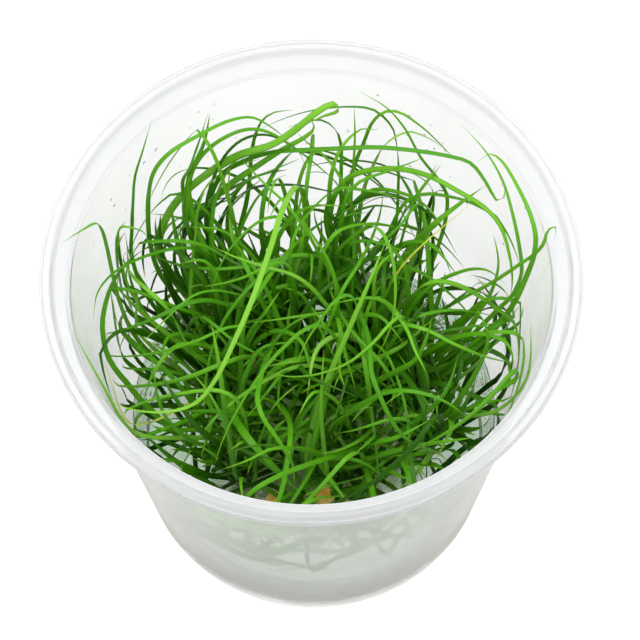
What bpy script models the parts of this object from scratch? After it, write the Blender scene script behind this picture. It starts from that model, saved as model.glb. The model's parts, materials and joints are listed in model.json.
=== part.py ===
# Tissue culture cup with a clump of narrow-leaved aquarium plantlets.
#
# A turned, thin-walled cup holds a block of clear gel. Eight crowns stand in pockets in the gel.
# The short inner leaves of a crown are one body with it. The long narrow leaves grow from the
# sides of the crowns, lean on the cup's wall and curl below its rim.
# Lengths here are in millimetres and are turned into metres when a mesh is made. The origin is
# on the cup's axis at the plane it stands on, +Z is up, and -Y is the front.

import math

import bmesh
import bpy
import numpy as np

MM = 0.001

# Cup: the outer radius of the rim drives the rest.
RIM_RADIUS = 52.5
RIM_HEIGHT = 86.4
BASE_RADIUS = 37.4
SHOULDER_RADIUS = 47.25
SHOULDER_HEIGHT = 81.6
WALL = 0.65
FLOOR = 1.5
FOOT_RECESS = 0.7
FOOT_WIDTH = 3.6
LID_SEAT_WIDTH = 1.1
CUP_SEGMENTS = 44

# Gel block, a touching gap clear of the cup.
GAP = 0.3
GEL_TOP = 20.0
GEL_SEGMENTS = 36
MENISCUS = 0.7

# Crowns: short tapered stems, half sunk in the gel.
CROWN_RADIUS = 2.2
CROWN_TOP = 24.6
CROWN_BOTTOM = 13.0
CROWN_SEGMENTS = 9

# Leaves
LEAF_BASE_RINGS = 5
LEAF_RING_STEP = 16.0
LEAF_RING_TURN = 50.0
LEAF_THICKNESS = 0.34
LEAF_THINNEST = 0.3
LEAF_BASE_WIDTH = 1.0
LEAF_START_HEIGHT = 22.4
TURN_WEIGHT = 6.0
CLEARANCE = 0.36
RELAX_ROUNDS = 400

# Inner leaves of each crown, evenly round it. Reach, rise and widths are ranges, and each leaf's
# share of a range comes from a fixed step, so that neighbours differ.
INNER_COUNT = 9
INNER_RINGS = 6
INNER_START_RADIUS = 1.35
INNER_BASE_WIDTH = 0.65
INNER_WIDTHS = (1.0, 1.6)
INNER_REACH = (7.0, 25.0)
INNER_REACH_STEP = 0.618
INNER_RISE = (18.0, 49.0)
INNER_RISE_STEP = 0.414
INNER_CURL = 60.0
INNER_UNEVEN = 4.0
INNER_FREE_RADIUS = 29.0
INNER_OUTER_SHARE = 0.35
INNER_DEPTH = 2.6

CROWNS = {
    "crown_1": (0, 2),
    "crown_2": (-17, 5),
    "crown_3": (16, 3),
    "crown_4": (-15, -15),
    "crown_5": (10, -15),
    "crown_6": (-8, 17),
    "crown_7": (9, 16),
    "crown_8": (23, -9),
}

# Old tissue lumps: centre, half sizes and turn about Z in degrees.
CALLUS = {
    "callus_1": ((-8.4, -20.6, 20.8), (2.6, 2.0, 1.7), 20),
    "callus_2": ((2.6, -19.0, 20.9), (2.2, 3.4, 1.8), -35),
    "callus_3": ((-14.0, 12.6, 20.8), (2.2, 1.8, 1.6), 60),
}

# Each leaf: crown, full width, material, and the points its midline passes from crown to tip.
LEAVES = (
    ("crown_1", 1.5, "leaf_green", ((4, -5, 34), (8, -7, 42), (14, -8, 54), (21, -8, 64), (24, -2, 72))),
    ("crown_1", 1.2, "leaf_green", ((-3, 2, 38), (-6, 6, 52), (-10, 11, 62), (-17, 17, 71))),
    ("crown_1", 1.3, "leaf_green", ((2, 1, 40), (5, 5, 54), (4, 11, 66), (-3, 19, 76))),
    ("crown_2", 1.0, "leaf_green", ((-29, 12, 36), (-35, 15, 50), (-37, 19, 58), (-36, 22, 69), (-35, 26, 78),
                                    (-33, 29, 84), (-31, 33, 89))),
    ("crown_2", 1.1, "leaf_green", ((-26, 17, 36), (-32, 21, 48), (-33, 26, 66), (-30, 30, 77), (-21, 35, 80),
                                    (-13, 39, 79), (-9, 39, 76), (-4, 39, 68))),
    ("crown_2", 1.1, "leaf_green", ((-19, 16, 36), (-21, 21, 45), (-24, 26, 55), (-26, 31, 64), (-24, 32, 70),
                                    (-20, 37, 84))),
    ("crown_2", 1.9, "leaf_light", ((-24, 16, 34), (-31, 22, 46), (-32, 24, 52), (-28, 29, 60), (-17, 35, 68),
                                    (-6, 37, 74), (2, 39, 82), (5, 40, 83), (6, 40, 80), (2, 41, 75),
                                    (-2, 41, 71))),
    ("crown_2", 1.1, "leaf_green", ((-28, 3, 32), (-36, 5, 46), (-39, 8, 56), (-41, 14, 74), (-42, 14, 81),
                                    (-45, 10, 85), (-48, 6, 88))),
    ("crown_2", 0.8, "leaf_light", ((-32, 9, 42), (-38, 13, 58), (-39, 18, 68), (-38, 18, 72), (-34, 18, 70),
                                    (-33, 18, 66))),
    ("crown_2", 1.2, "leaf_light", ((-21, 7, 32), (-25, 13, 44), (-25, 18, 52), (-23, 27, 62))),
    ("crown_2", 0.9, "leaf_yellow", ((-24, -5, 38), (-33, -16, 52), (-37, -20, 62), (-40, -15, 78))),
    ("crown_2", 1.9, "leaf_green", ((-17, -4, 36), (-16, -14, 46), (-13, -21, 51), (-9, -25, 50),
                                    (-2, -28, 40))),
    ("crown_2", 1.2, "leaf_green", ((-16, 1, 40), (-22, 0, 54), (-28, -5, 63), (-32, -11, 63), (-34, -14, 57))),
    ("crown_3", 0.9, "leaf_yellow", ((13, 6, 38), (14, 10, 48), (18, 14, 59), (24, 17, 67), (32, 20, 76))),
    ("crown_3", 0.9, "leaf_green", ((19, 11, 38), (26, 22, 52), (28, 29, 63), (23, 32, 72), (17, 38, 81),
                                    (10, 41, 85))),
    ("crown_3", 1.0, "leaf_light", ((25, 2, 36), (36, 6, 52), (42, 8, 66), (41, 13, 75), (37, 24, 83),
                                    (30, 32, 87))),
    ("crown_3", 1.2, "leaf_light", ((26, -1, 38), (38, 3, 56), (42, 5, 69), (44, 9, 82), (41, 18, 85),
                                    (36, 25, 87), (33, 24, 86))),
    ("crown_3", 0.9, "leaf_green", ((22, 9, 42), (31, 9, 56), (35, 8, 63), (42, 6, 78), (45, 5, 86),
                                    (46, 7, 89), (47.5, 7.5, 89), (47, 5.5, 88))),
    ("crown_3", 2.0, "leaf_light", ((16, 15, 44), (19, 20, 56), (26, 22, 67), (35, 23, 78))),
    ("crown_3", 1.4, "leaf_dark", ((16, 2, 42), (18, -6, 52), (22, -17, 58), (21, -22, 50), (18, -23, 42))),
    ("crown_3", 1.2, "leaf_green", ((19, 1, 38), (27, 1, 52), (34, -2, 62), (39, -7, 67), (40, -12, 64))),
    ("crown_3", 1.1, "leaf_green", ((17, 4, 42), (22, 9, 56), (28, 10, 64), (35, 9, 69), (39, 5, 70))),
    ("crown_4", 1.0, "leaf_light", ((-17, -14, 36), (-29, -20, 52), (-36, -24, 66), (-40, -21, 79),
                                    (-45, -14, 89))),
    ("crown_4", 1.2, "leaf_green", ((-15, -10, 34), (-21, -11, 46), (-25, -16, 52), (-34, -23, 60),
                                    (-36, -24, 66))),
    ("crown_4", 1.3, "leaf_light", ((-17, -18, 34), (-18, -15, 50), (-19, -8, 68), (-20, -3, 72))),
    ("crown_4", 1.1, "leaf_green", ((-18, -15, 34), (-25, -19, 50), (-30, -17, 60), (-32, -8, 70))),
    ("crown_5", 1.5, "leaf_light", ((-1, -20, 36), (1, -15, 53), (5, -9, 65), (11, 1, 77), (15, 10, 81))),
    ("crown_5", 1.1, "leaf_green", ((12, -16, 36), (6, -23, 48), (1, -29, 59), (-8, -38, 72), (-12, -41, 73),
                                    (-14, -41, 63), (-13, -39, 54), (-8, -38, 46))),
    ("crown_5", 1.0, "leaf_green", ((1, -20, 36), (5, -21, 44), (10, -23, 46), (17, -26, 38))),
    ("crown_5", 1.2, "leaf_light", ((7, -18, 34), (10, -19, 40), (18, -22, 52), (31, -30, 74))),
    ("crown_5", 1.1, "leaf_green", ((7, -23, 28), (10, -24, 33), (18, -24, 47), (26, -28, 54))),
    ("crown_5", 1.2, "leaf_green", ((4, -14, 42), (10, -14, 56), (17, -15, 64), (25, -18, 66), (31, -21, 62))),
    ("crown_6", 1.0, "leaf_green", ((-21, 25, 44), (-26, 29, 60), (-22, 35, 72), (-12, 38, 76), (-3, 36, 71),
                                    (7, 32, 61))),
    ("crown_6", 0.8, "leaf_dark", ((-21, 22, 45), (-22, 30, 60), (-16, 37, 71), (-10, 39, 72), (-3, 39, 66),
                                   (-1, 38, 60))),
    ("crown_6", 1.7, "leaf_light", ((-19, 22, 40), (-24, 28, 50), (-18, 32, 60), (-6, 36, 69), (1, 38, 75),
                                    (0, 40, 77))),
    ("crown_6", 1.1, "leaf_green", ((-18, 21, 38), (-23, 28, 50), (-20, 34, 62), (-10, 35, 70), (2, 33, 75),
                                    (14, 31, 79), (26, 28, 81), (31, 26, 82), (34, 22, 82), (37, 18, 80),
                                    (38.5, 19, 81.5), (37, 23, 83.5))),
    ("crown_6", 0.9, "leaf_green", ((-15, 14, 38), (-19, 18, 50), (-24, 19, 60), (-36, 11, 70), (-42, 2, 75),
                                    (-43, -3, 73))),
    ("crown_6", 1.3, "leaf_light", ((-4, 18, 42), (-1, 27, 58), (-2, 29, 68), (-5, 20, 77), (-9, 3, 83),
                                    (-15, -13, 82), (-22, -24, 79), (-31, -27, 81), (-40, -27, 88))),
    ("crown_6", 1.2, "leaf_green", ((-8, 9, 42), (-11, -9, 60), (-11, -21, 68), (-5, -29, 63), (-4, -30, 50))),
    ("crown_7", 0.9, "leaf_light", ((8, 23, 46), (8, 30, 58), (9, 36, 73), (9, 39, 83))),
    ("crown_7", 1.3, "leaf_green", ((6, 21, 42), (4, 29, 56), (8, 32, 66), (20, 29, 74), (30, 22, 77),
                                    (37, 15, 78), (40, 7, 72), (40, 4, 64))),
    ("crown_7", 1.0, "leaf_dark", ((7, 24, 45), (6, 29, 55), (15, 29, 64), (24, 23, 66), (30, 19, 56))),
    ("crown_7", 1.2, "leaf_green", ((10, 9, 52), (12, -8, 69), (12, -16, 73), (17, -26, 68), (25, -25, 55),
                                    (27, -24, 48))),
    ("crown_7", 1.0, "leaf_green", ((8, 13, 38), (7, 11, 46), (2, 7, 54), (-12, 1, 62))),
    ("crown_7", 1.1, "leaf_green", ((8, 16, 46), (7, 20, 57), (12, 18, 64), (21, 14, 65))),
    ("crown_8", 0.9, "leaf_light", ((28, -10, 38), (37, -16, 56), (42, -16, 73), (42, -10, 83))),
    ("crown_8", 1.2, "leaf_green", ((24, -12, 36), (30, -11, 50), (35, -5, 67), (32, 0, 71))),
)

COLOURS = {
    "cup": ((0.86, 0.89, 0.90, 0.35), 0.3),
    "gel": ((0.86, 0.90, 0.88, 0.4), 0.15),
    "crown": ((0.55, 0.66, 0.32, 1), 0.45),
    "callus": ((0.55, 0.33, 0.16, 1), 0.5),
    "leaf_green": ((0.09, 0.36, 0.01, 1), 0.35),
    "leaf_light": ((0.22, 0.52, 0.03, 1), 0.35),
    "leaf_dark": ((0.04, 0.17, 0.02, 1), 0.35),
    "leaf_yellow": ((0.66, 0.62, 0.12, 1), 0.4),
}


def clear_scene():
    for old in list(bpy.data.objects):
        bpy.data.objects.remove(old, do_unlink=True)


def material(slot):
    found = bpy.data.materials.get(slot)
    if found:
        return found
    colour, roughness = COLOURS[slot]
    made = bpy.data.materials.new(slot)
    made.use_nodes = True
    shader = made.node_tree.nodes["Principled BSDF"]
    shader.inputs["Base Color"].default_value = colour
    shader.inputs["Roughness"].default_value = roughness
    shader.inputs["Metallic"].default_value = 0.0
    shader.inputs["Alpha"].default_value = colour[3]
    return made


def add_object(name, mesh_data, slot, sharp_degrees=40):
    mesh = bpy.data.meshes.new(name)
    mesh_data.to_mesh(mesh)
    mesh_data.free()
    mesh.materials.append(material(slot))
    mesh.shade_smooth()
    mesh.set_sharp_from_angle(angle=math.radians(sharp_degrees))
    made = bpy.data.objects.new(name, mesh)
    bpy.context.scene.collection.objects.link(made)
    return made


def turned_mesh(profile, segments, centre=(0, 0)):
    # Spins a profile of (radius, height) points, axis to axis, into one closed body.
    mesh = bmesh.new()
    line = [mesh.verts.new((radius * MM, 0, height * MM)) for radius, height in profile]
    edges = [mesh.edges.new(pair) for pair in zip(line, line[1:])]
    bmesh.ops.spin(
        mesh, geom=line + edges, cent=(0, 0, 0), axis=(0, 0, 1), dvec=(0, 0, 0),
        angle=2 * math.pi, steps=segments, use_merge=False, use_duplicate=False,
    )
    bmesh.ops.remove_doubles(mesh, verts=mesh.verts, dist=0.00001)
    bmesh.ops.recalc_face_normals(mesh, faces=mesh.faces)
    bmesh.ops.translate(mesh, verts=mesh.verts, vec=(centre[0] * MM, centre[1] * MM, 0))
    return mesh


def cup_outer_profile():
    rim = RIM_RADIUS
    top = RIM_HEIGHT
    foot_inner = BASE_RADIUS - FOOT_WIDTH - 1.0
    return [
        (0, FOOT_RECESS),
        (foot_inner, FOOT_RECESS),
        (foot_inner + 0.8, 0),
        (BASE_RADIUS - 1.0, 0),
        (BASE_RADIUS - 0.3, 0.35),
        (BASE_RADIUS + 0.1, 1.2),
        (SHOULDER_RADIUS, SHOULDER_HEIGHT),
        (SHOULDER_RADIUS + 0.65, SHOULDER_HEIGHT + 1.5),
        (rim - 2.3, top - 1.8),
        (rim - 1.9, top - 0.1),
        (rim - 0.7, top - 0.1),
        (rim - 0.65, top - 1.1),
        (rim - 0.1, top - 1.1),
        (rim, top),
        (rim - 0.4, top + 0.5),
        (rim - 1.0, top + 0.7),
    ]


def cup_inner_profile():
    # From the lid seat down to the middle of the floor.
    rim = RIM_RADIUS
    top = RIM_HEIGHT
    return [
        (rim - 1.0 - LID_SEAT_WIDTH, top + 0.7),
        (rim - 2.55, top + 0.3),
        (rim - 2.9, top - 1.5),
        (SHOULDER_RADIUS + 0.05, SHOULDER_HEIGHT + 1.8),
        (SHOULDER_RADIUS - WALL + 0.05, SHOULDER_HEIGHT + 0.3),
        (BASE_RADIUS - WALL + 0.15, FLOOR + 0.7),
        (BASE_RADIUS - WALL - 0.55, FLOOR),
        (0, FLOOR),
    ]


def inner_radius(height):
    # Inside radius of the straight wall at a height.
    low, high = cup_inner_profile()[5], cup_inner_profile()[4]
    share = (height - low[1]) / (high[1] - low[1])
    return low[0] + share * (high[0] - low[0])


def make_cup():
    add_object("cup", turned_mesh(cup_outer_profile() + cup_inner_profile(), CUP_SEGMENTS), "cup", 30)


def crown_profile(extra=0.0):
    return [
        (0, CROWN_BOTTOM - extra),
        (1.3 + extra, CROWN_BOTTOM + 0.4 - extra),
        (CROWN_RADIUS + extra, GEL_TOP - 1.5),
        (CROWN_RADIUS + extra, GEL_TOP + 1.4),
        (CROWN_RADIUS * 0.6 + extra, CROWN_TOP - 0.8),
        (0, CROWN_TOP + extra),
    ]


def make_crowns():
    for name, centre in CROWNS.items():
        add_object(name, turned_mesh(crown_profile(), CROWN_SEGMENTS, centre), "crown")


def callus_mesh(centre, half_sizes, turn, extra=0.0):
    # An uneven round lump: a ball squashed to its half sizes, with shallow waves over it.
    mesh = bmesh.new()
    bmesh.ops.create_icosphere(mesh, subdivisions=2, radius=1.0)
    angle = math.radians(turn)
    for vertex in mesh.verts:
        x, y, z = vertex.co
        wave = 1 + 0.09 * math.sin(4 * x + centre[0]) * math.cos(5 * y) + 0.06 * math.sin(6 * z + centre[1])
        x, y, z = (value * (half * wave + extra) for value, half in zip((x, y, z), half_sizes))
        vertex.co = (
            (centre[0] + x * math.cos(angle) - y * math.sin(angle)) * MM,
            (centre[1] + x * math.sin(angle) + y * math.cos(angle)) * MM,
            (centre[2] + z) * MM,
        )
    return mesh


def make_callus():
    for name, (centre, half_sizes, turn) in CALLUS.items():
        add_object(name, callus_mesh(centre, half_sizes, turn), "callus")


def gel_profile():
    bottom = FLOOR + GAP
    edge_top = GEL_TOP + MENISCUS
    return [
        (0, bottom),
        (BASE_RADIUS - WALL - 0.7 - GAP, bottom),
        (inner_radius(FLOOR + 1.0) - GAP, bottom + 0.8),
        (inner_radius(edge_top) - GAP - 0.05, edge_top),
        (inner_radius(GEL_TOP) - 1.6, GEL_TOP + 0.1),
        (inner_radius(GEL_TOP) - 3.5, GEL_TOP),
        (0, GEL_TOP),
    ]


def combine(target, other_mesh, name, operation, slot):
    other = add_object(name, other_mesh, slot)
    other.hide_render = True
    other.display_type = "WIRE"
    boolean = target.modifiers.new(name, "BOOLEAN")
    boolean.operation = operation
    boolean.solver = "EXACT"
    boolean.object = other


def make_gel():
    # The gel block has an open pocket around each crown and each lump.
    gel = add_object("gel", turned_mesh(gel_profile(), GEL_SEGMENTS), "gel", 30)
    for name, centre in CROWNS.items():
        pocket = turned_mesh(crown_profile(GAP), CROWN_SEGMENTS, centre)
        combine(gel, pocket, "pocket_" + name, "DIFFERENCE", "gel")
    for name, (centre, half_sizes, turn) in CALLUS.items():
        combine(gel, callus_mesh(centre, half_sizes, turn, GAP), "pocket_" + name, "DIFFERENCE", "gel")


def smooth_curve(points, per_span=12):
    # Centripetal Catmull-Rom curve through the points.
    points = np.asarray(points, float)
    ends = (2 * points[0] - points[1], 2 * points[-1] - points[-2])
    padded = np.vstack((ends[0], points, ends[1]))
    knots = np.concatenate(([0.0], np.cumsum(np.linalg.norm(np.diff(padded, axis=0), axis=1) ** 0.5)))
    curve = []
    for i in range(1, len(padded) - 2):
        p0, p1, p2, p3 = padded[i - 1:i + 3]
        t0, t1, t2, t3 = knots[i - 1:i + 3]
        t = np.linspace(t1, t2, per_span, endpoint=False)[:, None]
        a1 = (t1 - t) / (t1 - t0) * p0 + (t - t0) / (t1 - t0) * p1
        a2 = (t2 - t) / (t2 - t1) * p1 + (t - t1) / (t2 - t1) * p2
        a3 = (t3 - t) / (t3 - t2) * p2 + (t - t2) / (t3 - t2) * p3
        b1 = (t2 - t) / (t2 - t0) * a1 + (t - t0) / (t2 - t0) * a2
        b2 = (t3 - t) / (t3 - t1) * a2 + (t - t1) / (t3 - t1) * a3
        curve.append((t2 - t) / (t2 - t1) * b1 + (t - t1) / (t2 - t1) * b2)
    curve.append(points[-1:])
    return np.vstack(curve)


def lengths_and_turns(curve):
    steps = np.diff(curve, axis=0)
    lengths = np.linalg.norm(steps, axis=1)
    directions = steps / lengths[:, None]
    cosines = np.clip((directions[1:] * directions[:-1]).sum(axis=1), -1, 1)
    return lengths, np.concatenate(([0.0], np.arccos(cosines)))


def even_points(curve, count):
    # Places points by length, and closer together where the curve turns.
    lengths, turns = lengths_and_turns(curve)
    measure = np.concatenate(([0.0], np.cumsum(lengths + TURN_WEIGHT * turns)))
    wanted = np.linspace(0, measure[-1], count)
    return np.stack([np.interp(wanted, measure, curve[:, axis]) for axis in range(3)], axis=1)


def leaf_starts():
    # Leaves of one crown start evenly round it, in the order of the way they lean.
    starts = {}
    for crown, (x, y) in CROWNS.items():
        members = [i for i, leaf in enumerate(LEAVES) if leaf[0] == crown]
        lean = {i: math.atan2(LEAVES[i][3][0][1] - y, LEAVES[i][3][0][0] - x) for i in members}
        ordered = sorted(members, key=lambda i: lean[i])
        step = 2 * math.pi / len(ordered)
        offsets = [lean[i] - k * step for k, i in enumerate(ordered)]
        offset = math.atan2(sum(math.sin(v) for v in offsets), sum(math.cos(v) for v in offsets))
        reach = CROWN_RADIUS + GAP + LEAF_BASE_WIDTH / 2 + 0.1
        for k, i in enumerate(ordered):
            angle = offset + k * step
            starts[i] = (x + reach * math.cos(angle), y + reach * math.sin(angle), LEAF_START_HEIGHT)
    return starts


def share_of(limits, share):
    return limits[0] + (limits[1] - limits[0]) * share


def inner_route(crown_index, k):
    # An arched route out of the crown's top that curls sideways and bends over at its tip.
    # Past the free radius it is drawn in, so that it stays off the cup's wall.
    x, y = list(CROWNS.values())[crown_index]
    uneven = INNER_UNEVEN * math.sin(5 * k + crown_index)
    heading = math.radians(360 * k / INNER_COUNT + 47 * crown_index + uneven)
    reach_share = INNER_REACH_STEP * (k + 3 * crown_index) % 1
    rise_share = INNER_RISE_STEP * (2 * k + 5 * crown_index) % 1
    reach = share_of(INNER_REACH, reach_share)
    rise = share_of(INNER_RISE, rise_share)
    curl = math.radians(INNER_CURL) * (0.4 + 0.6 * rise_share) * (-1) ** (k + crown_index)
    points = []
    for t in (0, 0.12, 0.3, 0.5, 0.75, 1.0):
        angle = heading + curl * t * t
        out = INNER_START_RADIUS + reach * t ** 1.5
        px, py = x + out * math.cos(angle), y + out * math.sin(angle)
        radius = math.hypot(px, py)
        beyond = max(radius - INNER_FREE_RADIUS, 0)
        inward = 1 - beyond * (1 - INNER_OUTER_SHARE) / max(radius, INNER_FREE_RADIUS)
        height = CROWN_TOP - INNER_DEPTH + rise * (2.0 * t - 1.1 * t * t)
        points.append((px * inward, py * inward, height))
    return points, share_of(INNER_WIDTHS, reach_share)


def leaf_widths(width, count, base_width=LEAF_BASE_WIDTH):
    # Narrow at the crown, widest a third of the way up, drawn out to a point at the tip.
    along = np.linspace(0, 1, count)
    root = base_width + (width - base_width) * np.clip(along / 0.25, 0, 1)
    return root * (1 - along ** 2.6) ** 0.8


def closest_on_segments(p, d, q, e):
    # Parameters of the closest points between segments p + s d and q + t e, row by row.
    r = p - q
    dd = (d * d).sum(axis=1)
    ee = (e * e).sum(axis=1)
    de = (d * e).sum(axis=1)
    dr = (d * r).sum(axis=1)
    er = (e * r).sum(axis=1)
    spread = np.maximum(dd * ee - de * de, 1e-9)
    s = np.clip((de * er - ee * dr) / spread, 0, 1)
    t = np.clip((de * s + er) / ee, 0, 1)
    s = np.clip((de * t - dr) / dd, 0, 1)
    return s, t


def wall_section():
    # The cup's section as closed polygon points, for keeping leaves off it.
    return np.array(cup_outer_profile()[5:] + cup_inner_profile()[:-2], float)


def push_off_wall(points, radii, section):
    # Moves points that come nearer to the cup's section than their radius.
    radial = np.linalg.norm(points[:, :2], axis=1)
    flat = np.stack((radial, points[:, 2]), axis=1)
    start = section
    step = np.roll(section, -1, axis=0) - section
    share = ((flat[:, None] - start) * step).sum(axis=2) / (step * step).sum(axis=1)
    nearest = start + np.clip(share, 0, 1)[:, :, None] * step
    away = flat[:, None] - nearest
    distance = np.linalg.norm(away, axis=2)
    best = distance.argmin(axis=1)
    rows = np.arange(len(points))
    gap = distance[rows, best]
    direction = away[rows, best] / np.maximum(gap, 1e-6)[:, None]
    crossings = ((start[:, 1] > flat[:, None, 1]) != ((start + step)[:, 1] > flat[:, None, 1]))
    slope = step[:, 0] / np.where(step[:, 1] == 0, 1, step[:, 1])
    at = start[:, 0] + (flat[:, None, 1] - start[:, 1]) * slope
    inside = (crossings & (flat[:, None, 0] < at)).sum(axis=1) % 2 == 1
    beyond = (radial > RIM_RADIUS - 2) & (points[:, 2] < RIM_HEIGHT - 2)
    shove = np.where(inside | beyond, gap + radii, np.maximum(radii - gap, 0))
    direction[inside] *= -1
    moved = direction * np.maximum(shove, 0)[:, None]
    out = np.zeros_like(points)
    out[:, :2] = points[:, :2] / np.maximum(radial, 1e-6)[:, None] * moved[:, :1]
    out[:, 2] = moved[:, 1]
    return out


def fixed_bodies():
    # Crowns and lumps as short thick rods that leaves must clear: ends and radius.
    top = CROWN_TOP - CROWN_RADIUS * 0.7
    rods = [((x, y, GEL_TOP - 2), (x, y, top), CROWN_RADIUS) for x, y in CROWNS.values()]
    for (x, y, z), half_sizes, _ in CALLUS.values():
        rods.append(((x, y, z - 0.2), (x, y, z + 0.1), max(half_sizes) * 1.12))
    return rods


def spread_leaves(midlines, widths, joined_to):
    # Moves the midlines apart until no leaf touches another, the wall, the gel, a crown or a lump.
    # joined_to gives the crown that an inner leaf is one body with, or -1.
    counts = [len(line) for line in midlines]
    original = np.vstack(midlines)
    half = np.concatenate(widths) / 2
    leaf_of = np.repeat(np.arange(len(midlines)), counts)
    ring_of = np.concatenate([np.arange(count) for count in counts])
    crown_of = np.array(joined_to)[leaf_of]
    inner = np.arange(1, len(original) - 1)
    inner = inner[(leaf_of[inner - 1] == leaf_of[inner]) & (leaf_of[inner + 1] == leaf_of[inner])]
    lower = np.flatnonzero(leaf_of[1:] == leaf_of[:-1])
    upper = lower + 1
    first, second = np.triu_indices(len(lower), 1)
    same = leaf_of[lower[first]] == leaf_of[lower[second]]
    keep = ~same | (ring_of[lower[second]] - ring_of[lower[first]] > 3)
    sisters = (crown_of[lower[first]] >= 0) & (crown_of[lower[first]] == crown_of[lower[second]])
    keep &= ~(sisters & (ring_of[lower[first]] < 1) & (ring_of[lower[second]] < 1))
    first, second = first[keep], second[keep]
    segment_half = np.maximum(half[lower], half[upper])
    need = segment_half[first] + segment_half[second] + CLEARANCE
    section = wall_section()
    rods = fixed_bodies()
    place = original.copy()
    for _ in range(RELAX_ROUNDS):
        start = place[lower]
        step = place[upper] - start
        middle = start + step / 2
        reach = np.linalg.norm(step, axis=1) / 2
        apart = np.linalg.norm(middle[first] - middle[second], axis=1)
        near = apart < reach[first] + reach[second] + need
        a, b = first[near], second[near]
        s, t = closest_on_segments(start[a], step[a], start[b], step[b])
        away = start[a] + s[:, None] * step[a] - start[b] - t[:, None] * step[b]
        distance = np.linalg.norm(away, axis=1)
        lack = need[near] - distance
        touching = lack > 0
        change = np.zeros_like(place)
        weight = np.zeros(len(place))
        direction = away / np.maximum(distance, 1e-4)[:, None]
        direction[distance < 1e-3] = (0, 0, 1)
        shove = direction[touching] * (0.5 * lack[touching] + 0.01)[:, None]
        for index, share, sign in ((a[touching], s[touching], 1), (b[touching], t[touching], -1)):
            for ends, part in ((lower, 1 - share), (upper, share)):
                np.add.at(change, ends[index], sign * shove * part[:, None])
                np.add.at(weight, ends[index], part)
        place += change / np.maximum(weight, 1)[:, None]
        place += push_off_wall(place, half + CLEARANCE, section)
        place[:, 2] = np.maximum(place[:, 2], GEL_TOP + half + CLEARANCE)
        for index, (base, top, radius) in enumerate(rods):
            along = np.subtract(top, base)
            share = np.clip((place - base) @ along / (along @ along), 0, 1)
            away = place - (np.array(base) + share[:, None] * along)
            distance = np.linalg.norm(away, axis=1)
            lack = np.maximum(radius + GAP + half - distance, 0)
            lack[(crown_of == index) & (ring_of < 2)] = 0
            place += away / np.maximum(distance, 1e-4)[:, None] * lack[:, None]
        place[ring_of == 0] = original[ring_of == 0]
        if not touching.any():
            break
        offset = place - original
        place[inner] = original[inner] + 0.7 * offset[inner] + 0.15 * (offset[inner - 1] + offset[inner + 1])
    return np.split(place, np.cumsum(counts)[:-1])


def blade_frames(points, first_side):
    # Side direction of the blade at each ring: it turns so that the flat of the blade bends.
    tangents = np.gradient(points, axis=0)
    tangents /= np.linalg.norm(tangents, axis=1)[:, None]
    side = np.asarray(first_side, float)
    sides = []
    for i, tangent in enumerate(tangents):
        side = side - tangent * (side @ tangent)
        side /= np.linalg.norm(side)
        if 0 < i < len(points) - 1:
            bend = np.cross(tangents[i - 1], tangents[i + 1])
            amount = np.linalg.norm(bend)
            if amount > 1e-4:
                bend /= amount
                bend *= math.copysign(1, bend @ side)
                mix = min(1.0, amount / 0.5) * 0.6
                side = side * (1 - mix) + bend * mix
                side -= tangent * (side @ tangent)
                side /= np.linalg.norm(side)
        sides.append(side)
    return tangents, np.array(sides)


def leaf_mesh(points, widths, crown_centre):
    # A strap with a three-sided section: two edges and a keel below the flat upper face.
    outward = np.array((points[0][0] - crown_centre[0], points[0][1] - crown_centre[1], 0.0))
    tangents, sides = blade_frames(points, np.cross(outward, (0, 0, 1)))
    mesh = bmesh.new()
    rings = []
    for centre, tangent, side, width in zip(points[:-1], tangents, sides, widths):
        face = np.cross(tangent, side)
        thickness = max(LEAF_THICKNESS * width, LEAF_THINNEST)
        edge = face * thickness / 3
        corners = (edge + side * width / 2, edge - side * width / 2, -2 * edge)
        rings.append([mesh.verts.new(tuple((centre + corner) * MM)) for corner in corners])
    tip = mesh.verts.new(tuple(points[-1] * MM))
    mesh.faces.new(rings[0])
    for lower, upper in zip(rings, rings[1:]):
        for k in range(3):
            mesh.faces.new((lower[k], lower[(k + 1) % 3], upper[(k + 1) % 3], upper[k]))
    for k in range(3):
        mesh.faces.new((rings[-1][k], rings[-1][(k + 1) % 3], tip))
    bmesh.ops.recalc_face_normals(mesh, faces=mesh.faces)
    bmesh.ops.triangulate(mesh, faces=mesh.faces)
    return mesh


def long_leaf(start, route, width):
    # A long leaf gets more rings for its length and for how far it turns.
    curve = smooth_curve((start,) + route)
    lengths, turns = lengths_and_turns(curve)
    extra = lengths.sum() / LEAF_RING_STEP + math.degrees(turns.sum()) / LEAF_RING_TURN
    count = LEAF_BASE_RINGS + round(extra)
    return even_points(curve, count), leaf_widths(width, count)


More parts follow.
